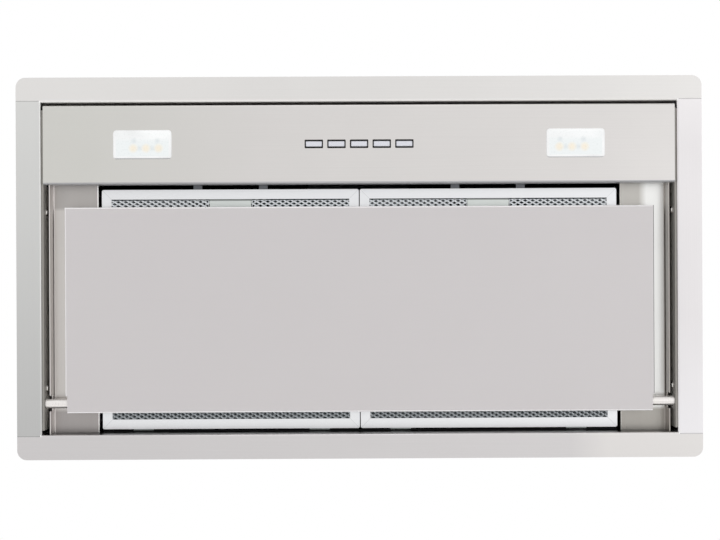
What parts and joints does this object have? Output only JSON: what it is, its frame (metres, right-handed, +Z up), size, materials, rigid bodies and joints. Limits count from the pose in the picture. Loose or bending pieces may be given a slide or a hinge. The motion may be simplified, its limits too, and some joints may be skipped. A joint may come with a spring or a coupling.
{
  "type": "built-in range hood",
  "caption": "Built-in range hood for a cabinet's underside: flange frame, lamp and button strip, hinged suction panel over mesh grease filters, blower and duct collar with damper flaps.",
  "frame": {"origin": "centre of the body's opening, on the flange's upper face, which bears on the cabinet's underside", "axes": "+X to the right for a cook at the hob, +Y to the wall, +Z up through the duct collar"},
  "size_m": [0.7, 0.39, 0.2782],
  "materials": {
    "flange_steel": "satin brushed stainless steel",
    "panel_steel": "satin brushed stainless steel",
    "plate_steel": "satin stainless steel",
    "rail_steel": "plain steel",
    "galvanised_steel": "galvanised sheet",
    "bright_steel": "turned steel",
    "filter_aluminium": "satin aluminium",
    "mesh_aluminium": "expanded aluminium mesh",
    "lens_plastic": "milky lens",
    "lamp_plastic": "white moulding",
    "board_laminate": "white laminate",
    "button_plastic": "silver lacquer",
    "black_plastic": "black moulding",
    "motor_enamel": "black enamel",
    "capacitor_plastic": "white can"
  },
  "bodies": {
    "hood": {"blower_left_cheek": "galvanised_steel", "blower_right_cheek": "galvanised_steel", "blower_wrapper": "galvanised_steel", "button_board": "board_laminate", "button_carrier": "black_plastic", "cable_gland": "black_plastic", "capacitor": "capacitor_plastic", "collar_screws": "bright_steel", "control_box": "black_plastic", "control_box_lid": "black_plastic", "control_strip": "flange_steel", "damper_pin": "bright_steel", "duct_collar": "black_plastic", "front_wall": "flange_steel", "left_filter_frame": "filter_aluminium", "left_filter_mesh": "mesh_aluminium", "left_filter_pack": "mesh_aluminium", "left_hinge_rail": "rail_steel", "left_lamp_board": "board_laminate", "left_lamp_housing": "lamp_plastic", "left_lamp_lens": "lens_plastic", "left_magnet_catch": "black_plastic", "left_side_plate": "plate_steel", "left_wall": "flange_steel", "motor": "motor_enamel", "motor_bracket": "galvanised_steel", "rail_screws": "bright_steel", "rear_filter_rail": "plate_steel", "rear_wall": "flange_steel", "right_filter_frame": "filter_aluminium", "right_filter_mesh": "mesh_aluminium", "right_filter_pack": "mesh_aluminium", "right_hinge_rail": "rail_steel", "right_lamp_board": "board_laminate", "right_lamp_housing": "lamp_plastic", "right_lamp_lens": "lens_plastic", "right_magnet_catch": "black_plastic", "right_side_plate": "plate_steel", "right_wall": "flange_steel", "tact_switches": "black_plastic", "top_plate": "galvanised_steel"},
    "panel": {"suction_panel": "panel_steel", "left_panel_arm": "rail_steel", "right_panel_arm": "rail_steel", "left_pivot_pin": "bright_steel", "right_pivot_pin": "bright_steel"},
    "rotor": {"impeller": "black_plastic", "motor_shaft": "bright_steel"},
    "front_flap": {"front_damper_flap": "black_plastic"},
    "rear_flap": {"rear_damper_flap": "black_plastic"},
    "left_latch": {"left_filter_latch": "filter_aluminium"},
    "right_latch": {"right_filter_latch": "filter_aluminium"},
    "light_button": {"light_button": "button_plastic"},
    "off_button": {"off_button": "button_plastic"},
    "low_button": {"low_button": "button_plastic"},
    "medium_button": {"medium_button": "button_plastic"},
    "high_button": {"high_button": "button_plastic"}
  },
  "joints": [
    {"name": "panel_hinge", "type": "hinge", "parent": "hood", "child": "panel", "pos_m": [0, 0.138, 0.0087], "axis": [1, 0, 0], "range_deg": [0, 90]},
    {"name": "rotor_spin", "type": "hinge", "parent": "hood", "child": "rotor", "pos_m": [0, -0.022, 0.145], "axis": [1, 0, 0], "continuous": true},
    {"name": "front_flap_hinge", "type": "hinge", "parent": "hood", "child": "front_flap", "pos_m": [0, 0.025, 0.24805], "axis": [-1, 0, 0], "range_deg": [0, 75]},
    {"name": "rear_flap_hinge", "type": "hinge", "parent": "hood", "child": "rear_flap", "pos_m": [0, 0.025, 0.24805], "axis": [1, 0, 0], "range_deg": [0, 75]},
    {"name": "left_latch_slide", "type": "slide", "parent": "hood", "child": "left_latch", "axis": [0, 1, 0], "range_m": [0, 0.006], "stiffness_N_per_m": 300, "springref_m": -0.004},
    {"name": "right_latch_slide", "type": "slide", "parent": "hood", "child": "right_latch", "axis": [0, 1, 0], "range_m": [0, 0.006], "stiffness_N_per_m": 300, "springref_m": -0.004},
    {"name": "light_button_press", "type": "slide", "parent": "hood", "child": "light_button", "axis": [0, 0, 1], "range_m": [0, 0.0016], "stiffness_N_per_m": 400, "springref_m": -0.0015},
    {"name": "off_button_press", "type": "slide", "parent": "hood", "child": "off_button", "axis": [0, 0, 1], "range_m": [0, 0.0016], "stiffness_N_per_m": 400, "springref_m": -0.0015},
    {"name": "low_button_press", "type": "slide", "parent": "hood", "child": "low_button", "axis": [0, 0, 1], "range_m": [0, 0.0016], "stiffness_N_per_m": 400, "springref_m": -0.0015},
    {"name": "medium_button_press", "type": "slide", "parent": "hood", "child": "medium_button", "axis": [0, 0, 1], "range_m": [0, 0.0016], "stiffness_N_per_m": 400, "springref_m": -0.0015},
    {"name": "high_button_press", "type": "slide", "parent": "hood", "child": "high_button", "axis": [0, 0, 1], "range_m": [0, 0.0016], "stiffness_N_per_m": 400, "springref_m": -0.0015}
  ]
}
